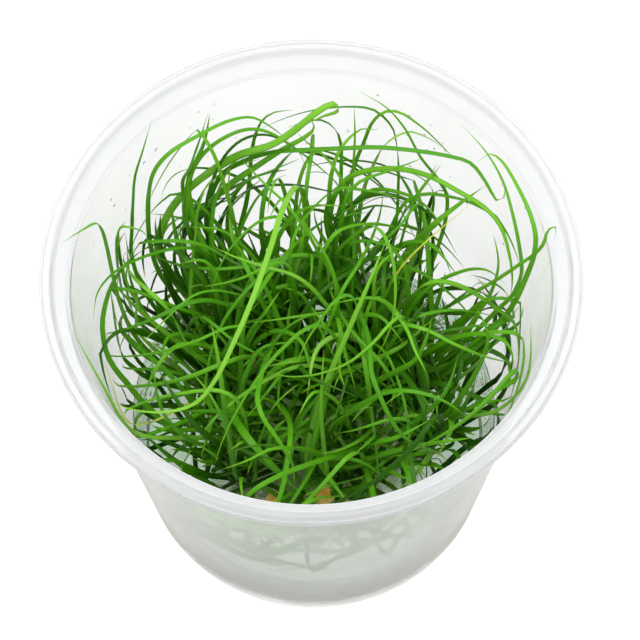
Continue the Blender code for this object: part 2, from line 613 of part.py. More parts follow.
def make_leaves():
    # The long leaves, one body each, and the inner leaves, joined to their crowns.
    starts = leaf_starts()
    crown_names = list(CROWNS)
    leaves = [long_leaf(starts[i], route, width) for i, (_, width, _, route) in enumerate(LEAVES)]
    joined_to = [-1] * len(leaves)
    for crown_index in range(len(CROWNS)):
        for k in range(INNER_COUNT):
            route, width = inner_route(crown_index, k)
            points = even_points(smooth_curve(route), INNER_RINGS)
            leaves.append((points, leaf_widths(width, INNER_RINGS, INNER_BASE_WIDTH)))
            joined_to.append(crown_index)
    midlines, widths = zip(*leaves)
    placed = spread_leaves(midlines, widths, joined_to)
    for i, (crown, _, slot, _) in enumerate(LEAVES):
        add_object("leaf_%02d" % (i + 1), leaf_mesh(placed[i], widths[i], CROWNS[crown]), slot, 60)
    for crown_index, name in enumerate(crown_names):
        blades = bpy.data.meshes.new("inner_" + name)
        joined = bmesh.new()
        for i, crown in enumerate(joined_to):
            if crown == crown_index:
                leaf_mesh(placed[i], widths[i], CROWNS[name]).to_mesh(blades)
                joined.from_mesh(blades)
        combine(bpy.data.objects[name], joined, "inner_" + name, "UNION", "crown")


def main():
    clear_scene()
    make_cup()
    make_gel()
    make_crowns()
    make_callus()
    make_leaves()


main()
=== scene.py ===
import json
import math

import bmesh
import bpy
import numpy as np
from mathutils import Matrix, Vector


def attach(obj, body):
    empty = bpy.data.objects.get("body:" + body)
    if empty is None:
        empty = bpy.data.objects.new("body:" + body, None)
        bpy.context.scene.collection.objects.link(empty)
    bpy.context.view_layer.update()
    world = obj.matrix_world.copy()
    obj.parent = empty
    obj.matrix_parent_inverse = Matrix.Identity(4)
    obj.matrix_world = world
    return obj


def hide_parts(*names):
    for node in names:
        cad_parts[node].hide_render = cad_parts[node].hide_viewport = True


# A clump of narrow water plant leaves growing out of clear gel in a milky plastic cup.
# Lengths in the dictionaries are millimetres, unless a note says metres; meshes are made in metres.

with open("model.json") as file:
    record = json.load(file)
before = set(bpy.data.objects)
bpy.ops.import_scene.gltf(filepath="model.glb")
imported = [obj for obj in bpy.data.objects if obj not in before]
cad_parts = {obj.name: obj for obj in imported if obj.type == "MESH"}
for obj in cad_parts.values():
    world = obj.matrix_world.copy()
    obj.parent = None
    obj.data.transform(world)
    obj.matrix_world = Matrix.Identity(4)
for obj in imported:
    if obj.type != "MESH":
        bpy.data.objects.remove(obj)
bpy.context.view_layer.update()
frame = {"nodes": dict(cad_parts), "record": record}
mm = 0.001
thinnest = 0.05


# helpers for meshes

def addObject(name, data):
    thing = bpy.data.objects.new(name, data)
    bpy.context.scene.collection.objects.link(thing)
    return thing


def linkMesh(name, mesh, material, smooth=True):
    piece = addObject(name, mesh)
    if material:
        mesh.materials.clear()
        mesh.materials.append(material)
    if smooth:
        mesh.shade_smooth()
    return piece


def mergedCopy(node, distance=0.000002):
    mesh = bmesh.new()
    mesh.from_mesh(node.data)
    bmesh.ops.remove_doubles(mesh, verts=mesh.verts, dist=distance)
    return mesh


def bakedMesh(piece):
    # the evaluated object as a plain mesh, with its modifiers taken off
    view = bpy.context.evaluated_depsgraph_get()
    plain = bpy.data.meshes.new_from_object(piece.evaluated_get(view), preserve_all_data_layers=True, depsgraph=view)
    old = piece.data
    piece.modifiers.clear()
    piece.data = plain
    bpy.data.meshes.remove(old)
    return piece


def settle(piece, replaced=()):
    # hides the solids that the piece stands in for and puts the piece in the root body
    if replaced:
        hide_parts(*replaced)
    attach(piece, "root")


def addClosedRings(points, faces, bottom, rings, top):
    # a closed skin over rings of points, between two end points
    start, around = len(points), len(rings[0])
    points.extend((bottom, *(point for ring in rings for point in ring), top))
    last = len(points) - 1
    for k in range(around):
        after = (k + 1) % around
        faces.append((start, start + 1 + after, start + 1 + k))
        faces.append((last, last - around + k, last - around + after))
        for lower in range(start + 1, last - around, around):
            faces.append((lower + k, lower + after, lower + around + after, lower + around + k))


def linkFaces(name, points, faces, material, smooth=True):
    # points in mm
    mesh = bpy.data.meshes.new(name)
    mesh.from_pydata((np.array(points) * mm).tolist(), [], faces)
    return linkMesh(name, mesh, material, smooth)


def spinProfile(name, profile, segments, material, sharpDegrees=50):
    # a closed turned body from (radius, height) points that start and end on the axis
    points, faces = [], []
    turns = [2 * math.pi * k / segments for k in range(segments)]
    rings = [[(radius * math.cos(turn), radius * math.sin(turn), height) for turn in turns]
             for radius, height in profile[1:-1]]
    addClosedRings(points, faces, (0, 0, profile[0][1]), rings, (0, 0, profile[-1][1]))
    piece = linkFaces(name, points, faces, material)
    piece.data.set_sharp_from_angle(angle=math.radians(sharpDegrees))
    return piece


def roundedCorners(points, radius, steps=4):
    # replaces each inner corner of a profile by a short arc-like curve
    points = [np.array(p, float) for p in points]
    out = [points[0]]
    for before, corner, after in zip(points, points[1:], points[2:]):
        inLength = np.linalg.norm(before - corner)
        outLength = np.linalg.norm(after - corner)
        cut = min(radius, inLength * 0.4, outLength * 0.4)
        start = corner + (before - corner) / inLength * cut
        end = corner + (after - corner) / outLength * cut
        for t in np.linspace(0, 1, steps + 1):
            out.append((1 - t) ** 2 * start + 2 * t * (1 - t) * corner + t * t * end)
    out.append(points[-1])
    return [tuple(p) for p in out]


def lengthsAlong(points, power=1):
    return np.concatenate(([0.0], np.cumsum(np.linalg.norm(np.diff(points, axis=0), axis=1) ** power)))


def between(t, start, end, a, b):
    return (end - t) / (end - start) * a + (t - start) / (end - start) * b


def throughPoints(points, count):
    # an even smooth curve through the points
    points = np.asarray(points, float)
    padded = np.vstack((2 * points[0] - points[1], points, 2 * points[-1] - points[-2]))
    knots = lengthsAlong(padded, 0.5)
    curve = []
    for i in range(1, len(padded) - 2):
        p0, p1, p2, p3 = padded[i - 1:i + 3]
        t0, t1, t2, t3 = knots[i - 1:i + 3]
        t = np.linspace(t1, t2, 16, endpoint=False)[:, None]
        a1 = between(t, t0, t1, p0, p1)
        a2 = between(t, t1, t2, p1, p2)
        a3 = between(t, t2, t3, p2, p3)
        b1 = between(t, t0, t2, a1, a2)
        b2 = between(t, t1, t3, a2, a3)
        curve.append(between(t, t1, t2, b1, b2))
    curve = np.vstack(curve + [points[-1:]])
    along = lengthsAlong(curve)
    wanted = np.linspace(0, along[-1], count)
    return np.stack([np.interp(wanted, along, curve[:, axis]) for axis in range(3)], axis=1)


def unit(vector):
    return vector / np.linalg.norm(vector)


def unitRows(rows):
    return rows / np.linalg.norm(rows, axis=1)[:, None]


def unitTangents(path):
    return unitRows(np.gradient(path, axis=0))


# helpers for node trees

def withAlpha(value):
    return (*value, 1) if isinstance(value, tuple) else value


class Tree:
    # a short way to add, set and join nodes
    def __init__(self, tree):
        self.tree = tree

    def feed(self, node, values):
        # a socket is linked, anything else is set on the node's own socket
        for key, value in values.items():
            if isinstance(value, bpy.types.NodeSocket):
                self.tree.links.new(value, node.inputs[key])
            else:
                node.inputs[key].default_value = value
        return node

    def add(self, kind, values=None, **settings):
        node = self.tree.nodes.new(kind)
        for key, value in settings.items():
            setattr(node, key, value)
        return self.feed(node, values or {})

    def first(self, kind, values=None, **settings):
        return self.add(kind, values, **settings).outputs[0]

    def math(self, operation, a, b=0.0):
        return self.first("ShaderNodeMath", {0: a, 1: b}, operation=operation)

    def mix(self, factor, a, b):
        values = {0: factor, 6: withAlpha(a), 7: withAlpha(b)}
        return self.add("ShaderNodeMix", values, data_type="RGBA").outputs[2]

    def ramp(self, value, fromLow, fromHigh, toLow=0.0, toHigh=1.0):
        values = {"Value": value, "From Min": fromLow, "From Max": fromHigh, "To Min": toLow, "To Max": toHigh}
        return self.add("ShaderNodeMapRange", values, interpolation_type="SMOOTHSTEP").outputs["Result"]

    def place(self):
        return self.add("ShaderNodeTexCoord").outputs["Object"]

    def height(self, place):
        return self.add("ShaderNodeSeparateXYZ", {0: place}).outputs["Z"]

    def noise(self, place, scale, detail, roughness=0.5):
        values = {"Vector": place, "Scale": scale, "Detail": detail, "Roughness": roughness}
        return self.add("ShaderNodeTexNoise", values).outputs["Fac"]

    def bump(self, height, strength, distance):
        values = {"Height": height, "Strength": strength, "Distance": distance}
        return self.add("ShaderNodeBump", values).outputs["Normal"]

    def blend(self, factor, first, second):
        return self.first("ShaderNodeMixShader", {0: factor, 1: first, 2: second})

    def clear(self, shader, colour, roughness, ior, normal):
        self.feed(shader, {"Base Color": colour, "Roughness": roughness, "IOR": ior, "Transmission Weight": 1.0,
                           "Normal": normal})


def newMaterial(name, viewColour, opacity=1.0):
    material = bpy.data.materials.new(name)
    material.use_nodes = True
    material.diffuse_color = (*viewColour, opacity)
    nodes = material.node_tree.nodes
    return material, Tree(material.node_tree), nodes["Principled BSDF"], nodes["Material Output"]


def geometryGroup(name, inputs):
    # every tree takes a geometry and a skin besides its own inputs
    group = bpy.data.node_groups.new(name, "GeometryNodeTree")
    for label, kind in (("Geometry", "Geometry"), *inputs, ("Skin", "Material")):
        group.interface.new_socket(label, in_out="INPUT", socket_type="NodeSocket" + kind)
    group.interface.new_socket("Geometry", in_out="OUTPUT", socket_type="NodeSocketGeometry")
    tree = Tree(group)
    return tree, tree.add("NodeGroupInput").outputs


def endTree(tree, given, geometry):
    smooth = tree.first("GeometryNodeSetShadeSmooth", {"Geometry": geometry})
    real = tree.first("GeometryNodeRealizeInstances", {"Geometry": smooth})
    skinned = tree.first("GeometryNodeSetMaterial", {"Geometry": real, "Material": given["Skin"]})
    tree.add("NodeGroupOutput", {0: skinned})
    return tree.tree


def growWith(piece, nodeTree, values):
    # runs a tree on the piece; its inputs are set by the sockets' identifiers
    modifier = piece.modifiers.new("tree", "NODES")
    modifier.node_group = nodeTree
    for item in nodeTree.interface.items_tree:
        if item.item_type == "SOCKET" and item.in_out == "INPUT" and item.name in values:
            modifier[item.identifier] = values[item.name]
    return bakedMesh(piece)


print("frame loaded,", len(frame["nodes"]), "solids")


# camera, as the photo was taken

cameraSetup = {
    "target": (1.575, 0.0, 64.93),
    "distance": 525.0,
    "elevation": 63.75,
    "roll": -0.76,
    "lens": 147.7,
    "clip": (0.01, 20),  # metres
}


def makeCamera(setup):
    lens = bpy.data.cameras.new("photoCamera")
    lens.lens = setup["lens"]
    lens.sensor_width = 36
    lens.clip_start, lens.clip_end = setup["clip"]
    camera = addObject("photoCamera", lens)
    lift, roll = math.radians(setup["elevation"]), math.radians(setup["roll"])
    forward = Vector((0, math.cos(lift), -math.sin(lift)))
    right = Vector((1, 0, 0))
    up = Vector((0, math.sin(lift), math.cos(lift)))
    rolledRight = right * math.cos(roll) + up * math.sin(roll)
    rolledUp = up * math.cos(roll) - right * math.sin(roll)
    place = Vector(setup["target"]) * mm - forward * setup["distance"] * mm
    turn = Matrix((rolledRight, rolledUp, -forward)).transposed().to_4x4()
    camera.matrix_world = Matrix.Translation(place) @ turn
    bpy.context.scene.camera = camera


makeCamera(cameraSetup)


# leaf skin: veins, blotches, pale base and yellowing tip

leafFinishes = {
    # body colour, lighter turn of it, darker turn, base, tip
    "leaf_green": ((0.125, 0.48, 0.006), (0.27, 0.66, 0.035), (0.055, 0.29, 0.003),
                   (0.28, 0.46, 0.05), (0.25, 0.54, 0.01)),
    "leaf_light": ((0.20, 0.60, 0.020), (0.44, 0.76, 0.13), (0.10, 0.44, 0.005),
                   (0.30, 0.58, 0.09), (0.32, 0.62, 0.03)),
    "leaf_dark": ((0.046, 0.21, 0.002), (0.11, 0.35, 0.010), (0.019, 0.11, 0.001),
                  (0.10, 0.18, 0.02), (0.11, 0.28, 0.006)),
    "leaf_yellow": ((0.80, 0.86, 0.08), (0.92, 0.94, 0.36), (0.58, 0.74, 0.03),
                    (0.46, 0.62, 0.05), (0.86, 0.84, 0.12)),
}

leafSkin = {
    "veinCount": 4.0,
    "blotchSize": 240.0,
    "turnShare": 0.8,  # how far a leaf goes to its lighter or darker turn
    "markShares": {"Blotch": 0.45, "Vein": 0.3, "Base": 0.5, "Tip": 0.6},
    "roughness": (0.46, 0.28),  # on dull and on glossy spots
    "gloss": 0.26,
    "glowShare": 0.30,  # light that passes through the thin blade
    "shadeHeights": (0.020, 0.058),  # metres
    "deepShade": 0.34,  # how much painted shade darkens the leaves down at the crowns
    # colour of the painted shade at the crowns, as shares of the darker turn
    "deepTurn": (0.3, 0.25, 0.3),
}


def makeLeafMarks():
    group = bpy.data.node_groups.new("leafMarks", "ShaderNodeTree")
    for label in ("Vein Count", "Blotch Size"):
        group.interface.new_socket(label, in_out="INPUT", socket_type="NodeSocketFloat")
    for label in ("Vein", "Blotch", "Tip", "Base", "Tint", "Height"):
        group.interface.new_socket(label, in_out="OUTPUT", socket_type="NodeSocketFloat")
    tree = Tree(group)
    given = tree.add("NodeGroupInput").outputs
    along, across, tint = (tree.add("ShaderNodeAttribute", attribute_name=label).outputs["Fac"]
                           for label in ("along", "across", "tint"))
    blotch = tree.noise(tree.place(), given["Blotch Size"], 3.0, 0.6)
    ripple = tree.math("MULTIPLY", across, tree.math("MULTIPLY", given["Vein Count"], math.pi))
    lines = tree.first("ShaderNodeMath", {0: tree.math("COSINE", ripple), 1: 0.5, 2: 0.5}, operation="MULTIPLY_ADD")
    midrib = tree.ramp(tree.math("ABSOLUTE", across), 0.0, 0.22, 1.0, 0.0)
    vein = tree.math("MAXIMUM", tree.math("MULTIPLY", lines, 0.5), midrib)
    height = tree.math("ADD", tree.math("MULTIPLY", vein, -0.6), tree.math("MULTIPLY", blotch, 0.5))
    tree.add("NodeGroupOutput", {
        "Vein": vein, "Blotch": blotch, "Tint": tint, "Height": height,
        "Tip": tree.ramp(along, 0.86, 1.0), "Base": tree.ramp(along, 0.02, 0.2, 1.0, 0.0)})
    return group


leafMarks = makeLeafMarks()


def leafMaterial(slot, finish, setup):
    body, lighter, darker, base, tip = finish
    material, tree, shader, output = newMaterial("skin_" + slot, body)
    values = {"Vein Count": setup["veinCount"], "Blotch Size": setup["blotchSize"]}
    marks = tree.add("ShaderNodeGroup", values, node_tree=leafMarks).outputs
    lift = tree.math("MULTIPLY", tree.ramp(marks["Tint"], 0.0, 1.0), setup["turnShare"])
    drop = tree.math("MULTIPLY", tree.ramp(marks["Tint"], -1.0, 0.0, 1.0, 0.0), setup["turnShare"])
    colour = tree.mix(drop, tree.mix(lift, body, lighter), darker)
    turns = {"Blotch": darker, "Vein": lighter, "Base": base, "Tip": tip}
    for label, share in setup["markShares"].items():
        colour = tree.mix(tree.math("MULTIPLY", marks[label], share), colour, turns[label])
    # painted shade: the leaves are darker down at the crowns, where they crowd together
    paintedCrownShade = tree.ramp(tree.height(tree.place()), *setup["shadeHeights"], setup["deepShade"], 0.0)
    colour = tree.mix(paintedCrownShade, colour, tuple(part * share for part, share in zip(darker, setup["deepTurn"])))
    tree.feed(shader, {
        "Base Color": colour, "Roughness": tree.ramp(marks["Blotch"], 0.3, 0.7, *setup["roughness"]),
        "Normal": tree.bump(marks["Height"], 0.35, 0.0001), "Specular IOR Level": setup["gloss"]})
    glow = tree.first("ShaderNodeBsdfTranslucent", {"Color": colour})
    tree.feed(output, {"Surface": tree.blend(setup["glowShare"], shader.outputs[0], glow)})
    return material


leafMaterials = {slot: leafMaterial(slot, finish, leafSkin) for slot, finish in leafFinishes.items()}
print("leaf skins made")


# blades: a Geometry Nodes tree sweeps a thin cupped strap along each midline

bladeShape = {
    "pointsAround": 8,
    "thickness": 0.17,  # share of the width
    "cupping": 0.16,  # how far the edges rise, share of the half width
    "lightFrom": (0.0, -0.42, 0.91),
    "turnedUp": 0.7,  # how far the leaves turn to the light
}


def makeBladeTree():
    inputs = (("Points Around", "Int"), ("Thickness", "Float"), ("Cupping", "Float"))
    tree, given = geometryGroup("sweepBlades", inputs)

    def named(label, kind):
        return tree.add("GeometryNodeInputNamedAttribute", {"Name": label}, data_type=kind).outputs["Attribute"]

    path = tree.first("GeometryNodeMeshToCurve", {"Mesh": given["Geometry"]})
    facing = tree.first("GeometryNodeSetCurveNormal", {"Curve": path, "Normal": named("facing", "FLOAT_VECTOR")},
                        mode="FREE")
    ring = tree.first("GeometryNodeCurvePrimitiveCircle", {"Resolution": given["Points Around"], "Radius": 1.0})
    x, y, _ = tree.add("ShaderNodeSeparateXYZ", {0: tree.first("GeometryNodeInputPosition")}).outputs
    flat = tree.math("MULTIPLY", y, given["Thickness"])
    cup = tree.math("MULTIPLY", tree.math("MULTIPLY", x, x), given["Cupping"])
    shaped = tree.first("ShaderNodeCombineXYZ", {"X": tree.math("ADD", flat, cup), "Y": x, "Z": 0.0})
    store = tree.first("GeometryNodeStoreNamedAttribute", {"Geometry": ring, "Name": "across", "Value": x},
                       data_type="FLOAT", domain="POINT")
    section = tree.first("GeometryNodeSetPosition", {"Geometry": store, "Position": shaped})
    sweep = tree.first("GeometryNodeCurveToMesh", {
        "Curve": facing, "Profile Curve": section, "Scale": named("halfWidth", "FLOAT"), "Fill Caps": True})
    return endTree(tree, given, sweep)


bladeTree = makeBladeTree()


def bladeFacings(path, firstSide):
    # the flat of the blade turns towards the way that it bends
    tangents = unitTangents(path)
    side, sides = np.asarray(firstSide, float), []
    for i, tangent in enumerate(tangents):
        side = unit(side - tangent * (side @ tangent))
        if 0 < i < len(path) - 1:
            bend = np.cross(tangents[i - 1], tangents[i + 1])
            amount = np.linalg.norm(bend)
            if amount > 1e-4:
                bend *= math.copysign(1, bend @ side) / amount
                mix = min(1.0, amount / 0.3) * 0.4
                side = side * (1 - mix) + bend * mix
                side = unit(side - tangent * (side @ tangent))
        sides.append(side)
    return np.array(sides)


def turnToLight(path, sides, share):
    # leaves turn their flat side up to the light
    tangents = unitTangents(path)
    flat = np.cross(tangents, bladeShape["lightFrom"])
    flat *= np.where((flat * sides).sum(axis=1) < 0, -1.0, 1.0)[:, None]
    sides = sides * (1 - share) + flat * share
    sides -= tangents * (sides * tangents).sum(axis=1)[:, None]
    # the sign may flip where a leaf points at the light, so neighbours are kept alike
    for i in range(1, len(sides)):
        if sides[i] @ sides[i - 1] < 0:
            sides[i] *= -1
    for _ in range(3):
        sides[1:-1] = (sides[:-2] + sides[1:-1] * 2 + sides[2:]) / 4
    return unitRows(sides)


def sweepBlades(name, blades, material, shape=bladeShape):
    # blades: (path in mm, full widths in mm, side vectors, tint)
    points, edges, halfWidths, facings, alongs, tints = [], [], [], [], [], []
    for path, widths, sides, tint in blades:
        start = len(points)
        points.extend((path * mm).tolist())
        edges.extend((start + k, start + k + 1) for k in range(len(path) - 1))
        halfWidths.extend((widths * mm / 2).tolist())
        facings.extend(np.cross(unitTangents(path), sides).tolist())
        alongs.extend(np.linspace(0, 1, len(path)).tolist())
        tints.extend([tint] * len(path))
    mesh = bpy.data.meshes.new(name)
    mesh.from_pydata(points, edges, [])
    for label, values in (("halfWidth", halfWidths), ("along", alongs), ("tint", tints)):
        mesh.attributes.new(label, "FLOAT", "POINT").data.foreach_set("value", values)
    mesh.attributes.new("facing", "FLOAT_VECTOR", "POINT").data.foreach_set("vector", np.ravel(facings))
    piece = linkMesh(name, mesh, None, smooth=False)
    return growWith(piece, bladeTree, {
        "Points Around": shape["pointsAround"], "Thickness": shape["thickness"], "Cupping": shape["cupping"],
        "Skin": material})


def placeBlades(prefix, found, replaced=()):
    for skin, blades in found.items():
        piece = sweepBlades(prefix + skin.split("_")[1], blades, leafMaterials[skin])
        settle(piece, replaced)
        print(piece.name, len(blades), "blades with", len(piece.data.polygons), "faces")


def drawTint(rng, middle, spread):
    return float(np.clip(rng.normal(middle, spread), -1, 1))


def pickSlot(rng, shares):
    slots = list(shares)
    weights = np.array([shares[s] for s in slots])
    return slots[rng.choice(len(slots), p=weights / weights.sum())]


# the leaves that stand as solids, one smooth blade each

heroLeaves = {
    "seed": 11,
    "rings": 64,
    "widthGain": 1.0,
    "fullness": 0.35,  # how much wider than the solid towards the tip
    "yellowShare": 0.62,  # the yellowing leaves are this much narrower
    "tintSpread": 0.5,
    "waviness": 0.12,
    "twist": 0.05,
}


def solidBlades(node, fewestRings=4):
    # a leaf in a solid is a row of three-cornered rings that ends in one tip point
    mesh = mergedCopy(node)
    mesh.verts.index_update()
    found = []
    for tip in mesh.verts:
        if len(tip.link_edges) != 3:
            continue
        rings, seen, edge = [], {tip}, [tip]
        while edge:
            # sorted, so that every run meets the corners in the same order
            edge = sorted({e.other_vert(v) for v in edge for e in v.link_edges} - seen, key=lambda v: v.index)
            seen |= set(edge)
            if len(edge) != 3:
                break
            rings.append(np.array([v.co for v in edge]))
        if len(rings) >= fewestRings:
            found.append((np.array(tip.co), rings))
    mesh.free()
    return [bladeLine(tip, rings) for tip, rings in found]


def bladeLine(tip, rings):
    # middles, side vectors and widths from the foot of the blade to its tip
    middles, sides, widths = [], [], []
    for ring in reversed(rings):
        pairs = [ring[a] - ring[b] for a in range(3) for b in range(a)]
        longest = max(pairs, key=np.linalg.norm)
        if sides:
            longest = max(pairs, key=lambda pair: abs(pair @ sides[-1]))
            longest = longest * math.copysign(1, longest @ sides[-1])
        middles.append(ring.mean(axis=0))
        widths.append(np.linalg.norm(longest))
        sides.append(longest / np.linalg.norm(longest))
    middles.append(tip)
    sides.append(sides[-1])
    widths.append(0.0)
    return np.array(middles) / mm, np.array(sides), np.array(widths) / mm


def smoothBlade(middles, sides, widths, tint, setup, rng):
    # finer path, widths and sides from a coarse midline
    rings = setup["rings"]
    path = throughPoints(middles, rings)
    coarse = lengthsAlong(middles)
    coarse /= coarse[-1]
    along = np.linspace(0, 1, rings)
    fineSides = np.stack([np.interp(along, coarse, sides[:, axis]) for axis in range(3)], axis=1)
    fineWidths = np.interp(along, coarse, widths) * (1 + heroLeaves["fullness"] * along ** 3)
    taper = np.sqrt(np.clip((1 - along) / 0.06, 0, 1))
    fineWidths = np.maximum(fineWidths, 0.16 + 0.1 * (1 - along)) * np.where(along > 0.94, taper, 1)
    fineWidths = np.maximum(fineWidths, thinnest)
    tangents = unitTangents(path)
    # a slow twist and a slight wobble of the midline, away from its ends
    inTheMiddle = np.sin(math.pi * along)
    twist = np.cumsum(rng.normal(0, heroLeaves["twist"], rings)) * inTheMiddle
    normal = np.cross(tangents, fineSides)
    fineSides = fineSides * np.cos(twist)[:, None] + normal * np.sin(twist)[:, None]
    fineSides = turnToLight(path, fineSides, bladeShape["turnedUp"])
    normal = np.cross(tangents, fineSides)
    wobble = np.sin(along * rng.uniform(9, 16) + rng.uniform(0, 6)) * setup["waviness"] * inTheMiddle
    return path + normal * wobble[:, None], fineWidths, fineSides, tint


def makeHeroLeaves(setup):
    rng = np.random.default_rng(setup["seed"])
    bySlot = {}
    for name, node in sorted(frame["nodes"].items()):
        if not name.startswith("leaf_"):
            continue
        slot = next(s["material_slot"] for s in frame["record"]["subparts"] if s["node"] == name)
        middles, sides, widths = solidBlades(node)[0]
        tint = drawTint(rng, 0, setup["tintSpread"])
        gain = setup["widthGain"] * (setup["yellowShare"] if slot == "leaf_yellow" else 1)
        bySlot.setdefault(slot, {})[name] = smoothBlade(middles, sides, widths * gain, tint, setup, rng)
    for slot, leaves in bySlot.items():
        placeBlades("leaves_", {slot: list(leaves.values())}, replaced=leaves)


makeHeroLeaves(heroLeaves)


# the short leaves that are one body with their crown

def numbered(prefix, values):
    return {prefix + str(k + 1): value for k, value in enumerate(values)}


crownPlaces = numbered("crown_", ((0, 2), (-17, 5), (16, 3), (-15, -15), (10, -15), (-8, 17), (9, 16), (23, -9)))

innerLeaves = {
    "seed": 17,
    "rings": 40,
    "widthGain": 0.95,
    "waviness": 0.1,
    "footHeight": 22.0,
    "tints": (-0.1, 0.5),  # middle and spread
    "slots": {"leaf_green": 0.55, "leaf_dark": 0.3, "leaf_light": 0.15},
}


def makeInnerLeaves(setup):
    rng = np.random.default_rng(setup["seed"])
    found = {}
    for name, (x, y) in crownPlaces.items():
        for middles, sides, widths in solidBlades(frame["nodes"][name]):
            outward = middles[0] - (x, y, middles[0][2])
            foot = np.array((x, y, setup["footHeight"])) + outward * 0.5
            middles = np.vstack((foot, middles))
            sides = np.vstack((sides[:1], sides))
            widths = np.concatenate((widths[:1], widths)) * setup["widthGain"]
            blade = smoothBlade(middles, sides, widths, drawTint(rng, *setup["tints"]), setup, rng)
            found.setdefault(pickSlot(rng, setup["slots"]), []).append(blade)
    placeBlades("inner_leaves_", found, crownPlaces)


makeInnerLeaves(innerLeaves)


# the many other leaves: companions that flow beside the solid ones, and others grown from the crowns

# shoots too small to be solids, between the crowns
sideShoots = numbered("shoot_", (
    (-26, -5), (25, 11), (0, -11), (-6, -26), (19, -23), (1, 27), (-24, 19), (19, 25), (-1, 11), (8, 6),
    (-9, -5), (30, 0), (-9, 5), (3, -28), (-24, -20)))
leafRoots = {**crownPlaces, **sideShoots}
leafFoot = 21.6  # height where leaves leave a crown
lowestLeaf = 21.2
grownTints = (-0.15, 0.5)  # middle and spread

companionLeaves = {
    "seed": 41,
    "perSolidLeaf": 4,
    "perInnerLeaf": 1,
    "turn": 15,  # degrees about the crown, spread
    "heightShare": (0.78, 1.03),
    "reachShare": (0.84, 1.05),
    "lengthShare": (0.4, 0.8),
    "sway": 2.2,  # mm of slow wander
    "widths": (0.7, 1.4),
    "wallGaps": (0.7, 2.5),
    "highest": 68,
    "rings": 38,
    "samples": 60,
    "tints": (-0.1, 0.55),
    "slots": {"leaf_green": 0.68, "leaf_dark": 0.1, "leaf_light": 0.22},
}

grownLeaves = {
    "seed": 23,
    # leaves and the height where they turn over, crown by crown
    "perCrown": numbered("crown_", (
        (9, 62), (10, 64), (10, 64), (10, 58), (9, 54), (10, 60), (10, 62), (9, 58))),
    "lengths": (46, 90),
    "widths": (0.7, 1.3),
    "lifts": (52, 84),  # degrees above level where a leaf starts
    "curls": (0.006, 0.036),  # turn per mm, either way
    "sags": (0.002, 0.014),
    "wallGap": 1.0,
    "tints": grownTints,
    "slots": {"leaf_green": 0.64, "leaf_dark": 0.2, "leaf_light": 0.16},
}

lowLeaves = {
    "seed": 31,
    "perCrown": {name: (8, 42) for name in leafRoots},
    "lengths": (22, 46),
    "widths": (0.8, 1.4),
    "lifts": (30, 75),
    "curls": (0.0, 0.03),
    "sags": (0.004, 0.02),
    "wallGap": 1.0,
    "tints": grownTints,
    "slots": {"leaf_green": 0.45, "leaf_dark": 0.45, "leaf_light": 0.10},
}

# thin leaves that arch over the back of the clump
archLeaves = {
    "seed": 57,
    "perCrown": {"crown_6": (6, 67), "crown_7": (6, 67), "shoot_6": (5, 67), "shoot_7": (2, 62), "shoot_8": (3, 64)},
    "lengths": (60, 92),
    "widths": (0.65, 1.15),
    "lifts": (64, 84),
    "curls": (0.015, 0.045),
    "sags": (0.003, 0.010),
    "wallGap": 1.2,
    "tints": grownTints,
    "slots": {"leaf_green": 0.72, "leaf_dark": 0.06, "leaf_light": 0.22},
}

cupInside = {"low": (36.9, 2.2), "high": (46.65, 81.9)}  # radius and height of the straight wall's ends


def wallRadius(height):
    (lowRadius, low), (highRadius, high) = cupInside["low"], cupInside["high"]
    return lowRadius + (height - low) * (highRadius - lowRadius) / (high - low)


def keepInside(path, gap):
    radial = np.linalg.norm(path[:, :2], axis=1)
    limit = wallRadius(path[:, 2]) - gap
    path[:, :2] *= np.minimum(1.0, limit / np.maximum(radial, 1e-6))[:, None]
    return path


def turnedAbout(x, y, angle):
    return x * math.cos(angle) - y * math.sin(angle), x * math.sin(angle) + y * math.cos(angle)


def growPath(rng, base, heading, ceiling, setup, step=1.6):
    lift = math.radians(rng.uniform(*setup["lifts"]))
    length = rng.uniform(*setup["lengths"])
    curl = rng.uniform(*setup["curls"]) * rng.choice((-1, 1))
    sag = rng.uniform(*setup["sags"])
    ceiling -= 14 * rng.random()
    place = np.array((base[0] + 2.0 * math.cos(heading), base[1] + 2.0 * math.sin(heading), leafFoot))
    direction = np.array((math.cos(heading) * math.cos(lift), math.sin(heading) * math.cos(lift), math.sin(lift)))
    path = [place]
    steps = max(8, int(length / step))
    for k in range(steps):
        share = k / steps
        direction[2] -= sag * (0.25 + share) * step
        direction[:2] = turnedAbout(direction[0], direction[1], curl * step * (0.3 + share))
        direction = unit(direction + rng.normal(0, 0.025, 3))
        if place[2] > ceiling and direction[2] > -0.1:
            direction[2] -= 0.12 * (place[2] - ceiling) / 4
            direction = unit(direction)
        ahead = place + direction * step * 2
        limit = wallRadius(ahead[2]) - setup["wallGap"]
        reach = math.hypot(ahead[0], ahead[1])
        if reach > limit:
            # slides along the wall
            outward = np.array((ahead[0], ahead[1], 0)) / reach
            held = min(1.0, 0.45 + 0.5 * (reach - limit))
            direction = unit(direction - outward * max(direction @ outward, 0) * held)
        if place[2] < 23 and k > 6 and direction[2] < 0:
            direction[2] = 0.05
            direction = unit(direction)
        place = place + direction * step
        path.append(place.copy())
    path = keepInside(np.array(path), setup["wallGap"] * 0.7)
    path[:, 2] = np.maximum(path[:, 2], lowestLeaf)
    return throughPoints(path, int(14 + length / 3))


def bladeWidths(width, rings, footWidth=0.9):
    along = np.linspace(0, 1, rings)
    widths = (footWidth + (width - footWidth) * np.clip(along / 0.3, 0, 1)) * (1 - along ** 4) ** 0.75
    return np.maximum(widths, thinnest)


